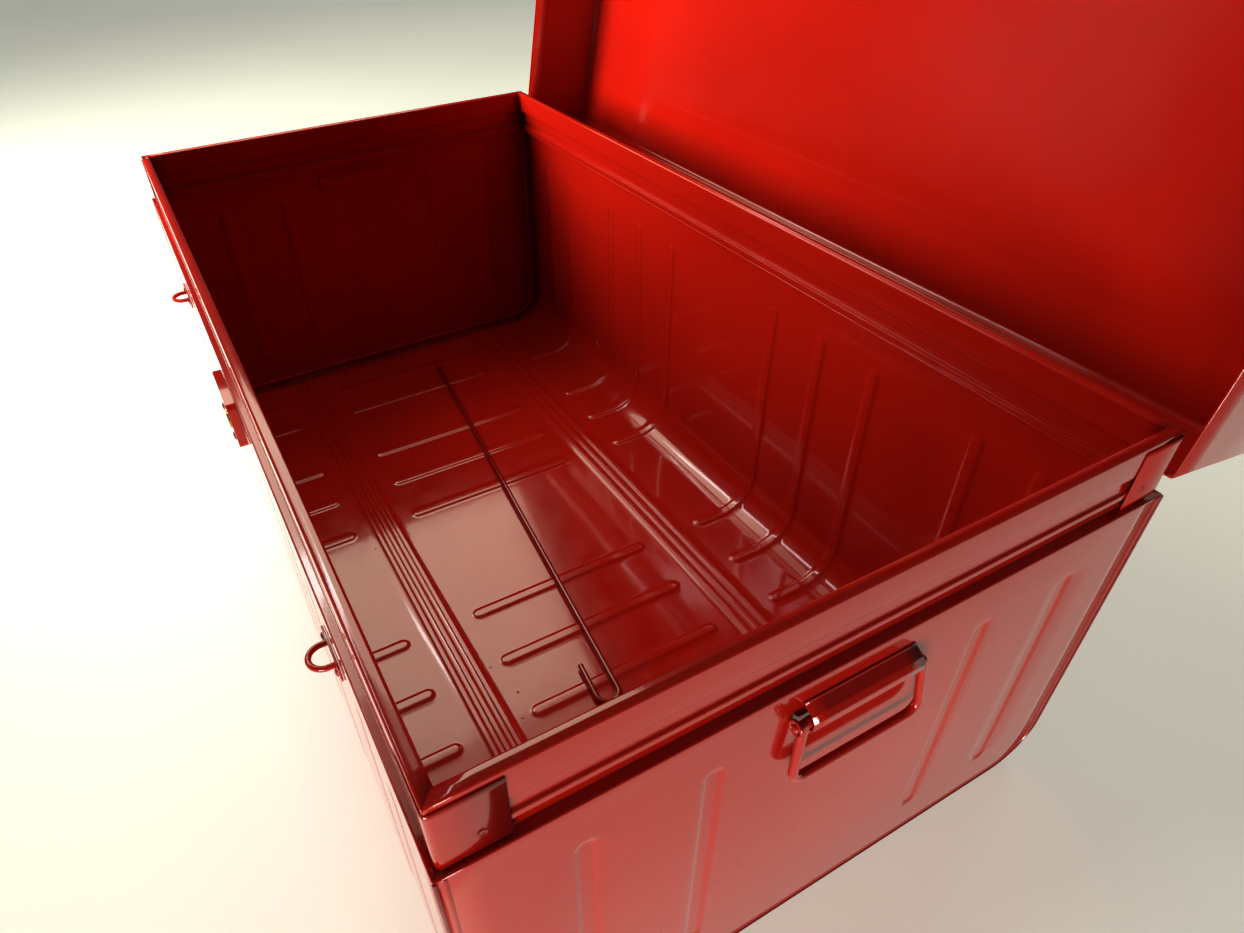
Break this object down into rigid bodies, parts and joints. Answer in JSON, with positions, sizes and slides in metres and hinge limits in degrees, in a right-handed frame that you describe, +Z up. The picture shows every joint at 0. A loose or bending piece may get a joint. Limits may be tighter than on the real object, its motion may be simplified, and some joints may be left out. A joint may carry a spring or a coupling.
{
  "type": "storage trunk",
  "caption": "Pressed-steel storage trunk in glossy enamel, with a deep hinged lid, drop handles, hasps for padlocks and a centre lock.",
  "frame": {"origin": "centre of the flat underside", "axes": "+X along the trunk, -Y towards its front, +Z up"},
  "size_m": [0.9216, 0.6729, 0.7741],
  "materials": {
    "red_enamel": "deep glossy enamel",
    "dark_red_enamel": "glossy enamel over rivets and rod",
    "plated_steel": "bright zinc plate",
    "brass": "satin brass"
  },
  "bodies": {
    "trunk_body": {"body_wrap": "red_enamel", "corner_cap_back_left": "red_enamel", "corner_cap_back_right": "red_enamel", "corner_cap_front_left": "red_enamel", "corner_cap_front_right": "red_enamel", "end_panel_left": "red_enamel", "end_panel_right": "red_enamel", "handle_backing_left": "red_enamel", "handle_backing_right": "red_enamel", "handle_barrel_left": "red_enamel", "handle_barrel_right": "red_enamel", "hinge_lower_leaf_left": "red_enamel", "hinge_lower_leaf_right": "red_enamel", "hinge_pin_left": "plated_steel", "hinge_pin_right": "plated_steel", "hinge_rivet_lower_left_1": "dark_red_enamel", "hinge_rivet_lower_left_2": "dark_red_enamel", "hinge_rivet_lower_right_1": "dark_red_enamel", "hinge_rivet_lower_right_2": "dark_red_enamel", "lock_case": "red_enamel", "lock_rivet_1": "dark_red_enamel", "lock_rivet_2": "dark_red_enamel", "staple_loop_left": "red_enamel", "staple_loop_right": "red_enamel", "staple_plate_left": "red_enamel", "staple_plate_right": "red_enamel", "staple_rivet_left_1": "dark_red_enamel", "staple_rivet_left_2": "dark_red_enamel", "staple_rivet_right_1": "dark_red_enamel", "staple_rivet_right_2": "dark_red_enamel"},
    "lid": {"lid_shell": "red_enamel", "hasp_mount_left": "red_enamel", "hasp_mount_right": "red_enamel", "hasp_pin_left": "plated_steel", "hasp_pin_right": "plated_steel", "hasp_rivet_left_1": "dark_red_enamel", "hasp_rivet_left_2": "dark_red_enamel", "hasp_rivet_right_1": "dark_red_enamel", "hasp_rivet_right_2": "dark_red_enamel", "hinge_rivet_upper_left_1": "dark_red_enamel", "hinge_rivet_upper_left_2": "dark_red_enamel", "hinge_rivet_upper_right_1": "dark_red_enamel", "hinge_rivet_upper_right_2": "dark_red_enamel", "hinge_upper_leaf_left": "red_enamel", "hinge_upper_leaf_right": "red_enamel", "lock_hasp_mount": "red_enamel", "lock_hasp_pin": "plated_steel", "lock_hasp_rivet_1": "dark_red_enamel", "lock_hasp_rivet_2": "dark_red_enamel"},
    "handle_left": {"handle_bail_left": "red_enamel"},
    "handle_right": {"handle_bail_right": "red_enamel"},
    "hasp_left": {"hasp_strap_left": "red_enamel"},
    "hasp_right": {"hasp_strap_right": "red_enamel"},
    "lock_hasp": {"lock_hasp_strap": "red_enamel"},
    "lock_cylinder": {"lock_cylinder": "brass"},
    "lock_bolt": {"lock_bolt": "plated_steel"},
    "stay_rod": {"stay_rod": "dark_red_enamel"}
  },
  "joints": [
    {"name": "lid_hinge", "type": "hinge", "parent": "trunk_body", "child": "lid", "pos_m": [0, 0.245, 0.281], "axis": [1, 0, 0], "range_deg": [0, 100]},
    {"name": "handle_left_swing", "type": "hinge", "parent": "trunk_body", "child": "handle_left", "pos_m": [-0.4556, 0, 0.252], "axis": [0, 1, 0], "range_deg": [-4, 170]},
    {"name": "handle_right_swing", "type": "hinge", "parent": "trunk_body", "child": "handle_right", "pos_m": [0.4556, 0, 0.252], "axis": [0, -1, 0], "range_deg": [-4, 170]},
    {"name": "hasp_left_hinge", "type": "hinge", "parent": "lid", "child": "hasp_left", "pos_m": [-0.27, 0.32261, 0.76437], "axis": [1, 0, 0], "range_deg": [0, 180]},
    {"name": "hasp_right_hinge", "type": "hinge", "parent": "lid", "child": "hasp_right", "pos_m": [0.27, 0.32261, 0.76437], "axis": [1, 0, 0], "range_deg": [0, 180]},
    {"name": "lock_hasp_hinge", "type": "hinge", "parent": "lid", "child": "lock_hasp", "pos_m": [0, 0.3234, 0.7688], "axis": [1, 0, 0], "range_deg": [0, 180]},
    {"name": "lock_turn", "type": "hinge", "parent": "trunk_body", "child": "lock_cylinder", "pos_m": [0, -0.2473, 0.239], "axis": [0, -1, 0], "range_deg": [0, 90]},
    {"name": "lock_bolt_slide", "type": "slide", "parent": "trunk_body", "child": "lock_bolt", "axis": [-1, 0, 0], "range_m": [0, 0.0095]},
    {"name": "stay_rod_lift", "type": "slide", "parent": "trunk_body", "child": "stay_rod", "axis": [0, 0, 1], "range_m": [0, 0.4]}
  ],
  "couplings": [
    {"joint": "lock_bolt_slide", "follows": "lock_turn", "m_per_rad": 0.0060479}
  ]
}
